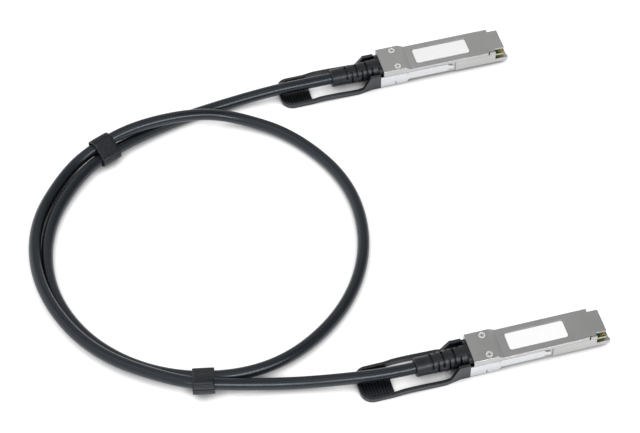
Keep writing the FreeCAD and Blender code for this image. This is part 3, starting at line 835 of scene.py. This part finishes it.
def floor_paint(colour):
    """A pale floor, white to the eye and in reflections, that keeps the object's shadow; its glow
    also dims by ambient occlusion near and under the object, a painted shadow.
    """
    finish = Finish("floor paint", colour, 0.9)
    finish.shader.inputs["Specular IOR Level"].default_value = 0.0
    finish.relief(finish.noise(40.0), depth=0.00001)
    rays = finish.nodes.new("ShaderNodeLightPath").outputs
    seen = finish.maths("MAXIMUM", rays["Is Camera Ray"], rays["Is Glossy Ray"])
    seen = finish.maths("MAXIMUM", seen, rays["Is Transmission Ray"])
    # painted shadow: the floor's glow fades where little of the sky is seen, beside and between the
    # strands
    open_air = finish.node("ShaderNodeAmbientOcclusion", Distance=0.007)
    glow_with_painted_shadow = finish.nodes.new("ShaderNodeMapRange")
    glow_with_painted_shadow.interpolation_type = "SMOOTHSTEP"
    for name, number in (("From Min", 0.15), ("From Max", 0.9), ("To Max", 1.5)):
        glow_with_painted_shadow.inputs[name].default_value = number
    finish.links.new(open_air.outputs["AO"], glow_with_painted_shadow.inputs["Value"])
    glow = finish.nodes.new("ShaderNodeEmission")
    finish.links.new(glow_with_painted_shadow.outputs["Result"], glow.inputs["Strength"])
    glow.inputs["Color"].default_value = (1.0, 1.0, 1.0, 1.0)
    mixer = finish.nodes.new("ShaderNodeMixShader")
    finish.links.new(finish.spread(seen, 0.0, 0.62), mixer.inputs["Fac"])
    finish.links.new(finish.shader.outputs["BSDF"], mixer.inputs[1])
    finish.links.new(glow.outputs["Emission"], mixer.inputs[2])
    finish.links.new(mixer.outputs["Shader"], finish.nodes["Material Output"].inputs["Surface"])
    return finish.material


def room_light(level):
    """A soft room: bright on the left, pale on the far side and on the right, dim on the near side
    and above, and white where it is looked at."""
    world = bpy.data.worlds.new("room")
    bpy.context.scene.world = world
    world.use_nodes = True
    nodes, links = world.node_tree.nodes, world.node_tree.links
    source = nodes.new("ShaderNodeTexCoord")
    split = nodes.new("ShaderNodeSeparateXYZ")
    links.new(source.outputs["Generated"], split.inputs["Vector"])

    def brighten(value, start, end, low, high):
        wall = nodes.new("ShaderNodeMapRange")
        wall.interpolation_type = "SMOOTHSTEP"
        limits = {"From Min": start, "From Max": end, "To Min": low, "To Max": high}
        for name, number in limits.items():
            wall.inputs[name].default_value = number
        links.new(value, wall.inputs["Value"])
        return wall.outputs["Result"]

    def add(first, second):
        total = nodes.new("ShaderNodeMath")
        links.new(first, total.inputs[0])
        links.new(second, total.inputs[1])
        return total.outputs[0]

    left = brighten(split.outputs["X"], -0.1, -0.7, 0.22 * level, 1.3 * level)
    far = brighten(split.outputs["Y"], 0.1, 0.8, 0.0, 0.5 * level)
    right = brighten(split.outputs["X"], 0.35, 0.75, 0.0, 0.22 * level)
    room = add(add(left, far), right)
    rays = nodes.new("ShaderNodeLightPath")
    seen = nodes.new("ShaderNodeMix")
    seen.inputs["B"].default_value = 1.0
    links.new(rays.outputs["Is Camera Ray"], seen.inputs["Factor"])
    links.new(room, seen.inputs["A"])
    links.new(seen.outputs["Result"], nodes["Background"].inputs["Strength"])
    nodes["Background"].inputs["Color"].default_value = (1.0, 1.0, 1.0, 1.0)


class ATTACHCABLE_OT_place_camera(bpy.types.Operator):
    """Place the camera above the near side of the loop"""
    bl_idname = "attach_cable.place_camera"
    bl_label = "Place camera"

    def execute(self, context):
        settings = context.scene.attach_studio
        lens = bpy.data.cameras.new("camera")
        lens.lens = settings.lens
        lens.sensor_width = 36.0
        lens.clip_end = 20.0
        camera = bpy.data.objects.new("camera", lens)
        level = math.cos(settings.elevation)
        away = Vector((math.sin(settings.turn) * level, math.cos(settings.turn) * level,
                       -math.sin(settings.elevation)))
        camera.location = Vector(settings.aim) - away * settings.distance
        camera.rotation_euler = away.to_track_quat("-Z", "Y").to_euler()
        context.scene.collection.objects.link(camera)
        context.scene.camera = camera
        return {"FINISHED"}


class ATTACHCABLE_OT_build_studio(bpy.types.Operator):
    """Build the floor, the lamps and the room light"""
    bl_idname = "attach_cable.build_studio"
    bl_label = "Build studio"

    def execute(self, context):
        settings = context.scene.attach_studio
        shape = bmesh.new()
        bmesh.ops.create_grid(shape, x_segments=8, y_segments=8, size=4.0)
        mesh = bpy.data.meshes.new("floor")
        shape.to_mesh(mesh)
        shape.free()
        mesh.materials.append(floor_paint(settings.floor_colour))
        floor = bpy.data.objects.new("floor", mesh)
        floor.location.z = cad_bounds[0][2]
        context.scene.collection.objects.link(floor)
        aim = Vector(settings.aim)
        area_lamp("key", settings.key_power, aim)
        area_lamp("front", settings.front_power, aim)
        area_lamp("fill", settings.fill_power, aim)
        room_light(settings.sky_level)
        context.scene.view_settings.view_transform = "Standard"
        return {"FINISHED"}


class ATTACHCABLE_PT_panel(bpy.types.Panel):
    """The pieces of the direct attach cable, with their sizes and colours"""
    bl_idname = "ATTACHCABLE_PT_panel"
    bl_label = "Direct attach cable"
    bl_space_type = "VIEW_3D"
    bl_region_type = "UI"
    bl_category = "Attach Cable"

    def draw(self, context):
        scene = context.scene
        for settings in (scene.attach_cable, scene.attach_ties, scene.attach_module,
                         scene.attach_studio):
            column = self.layout.column(align=True)
            for name in settings.__annotations__:
                column.prop(settings, name)
        for operator in OPERATORS:
            self.layout.operator(operator.bl_idname)


SETTINGS = {
    "attach_studio": StudioSettings,
    "attach_cable": CableSettings,
    "attach_ties": TieSettings,
    "attach_module": ModuleSettings,
}
OPERATORS = (
    ATTACHCABLE_OT_place_camera,
    ATTACHCABLE_OT_lay_cable,
    ATTACHCABLE_OT_wrap_ties,
    ATTACHCABLE_OT_finish_castings,
    ATTACHCABLE_OT_coil_springs,
    ATTACHCABLE_OT_finish_sliders,
    ATTACHCABLE_OT_finish_labels,
    ATTACHCABLE_OT_finish_mouldings,
    ATTACHCABLE_OT_plate_contacts,
    ATTACHCABLE_OT_build_studio,
)
CLASSES = (*SETTINGS.values(), *OPERATORS, ATTACHCABLE_PT_panel)


def register():
    for item in CLASSES:
        bpy.utils.register_class(item)
    for name, settings in SETTINGS.items():
        setattr(bpy.types.Scene, name, bpy.props.PointerProperty(type=settings))


def unregister():
    for name in SETTINGS:
        delattr(bpy.types.Scene, name)
    for item in reversed(CLASSES):
        bpy.utils.unregister_class(item)


def main():
    register()
    bpy.ops.attach_cable.place_camera()
    bpy.ops.attach_cable.lay_cable()
    bpy.ops.attach_cable.wrap_ties()
    bpy.ops.attach_cable.finish_castings()
    bpy.ops.attach_cable.coil_springs()
    bpy.ops.attach_cable.finish_sliders()
    bpy.ops.attach_cable.finish_labels()
    bpy.ops.attach_cable.finish_mouldings()
    bpy.ops.attach_cable.plate_contacts()
    bpy.ops.attach_cable.build_studio()


if __name__ == "__main__":
    main()
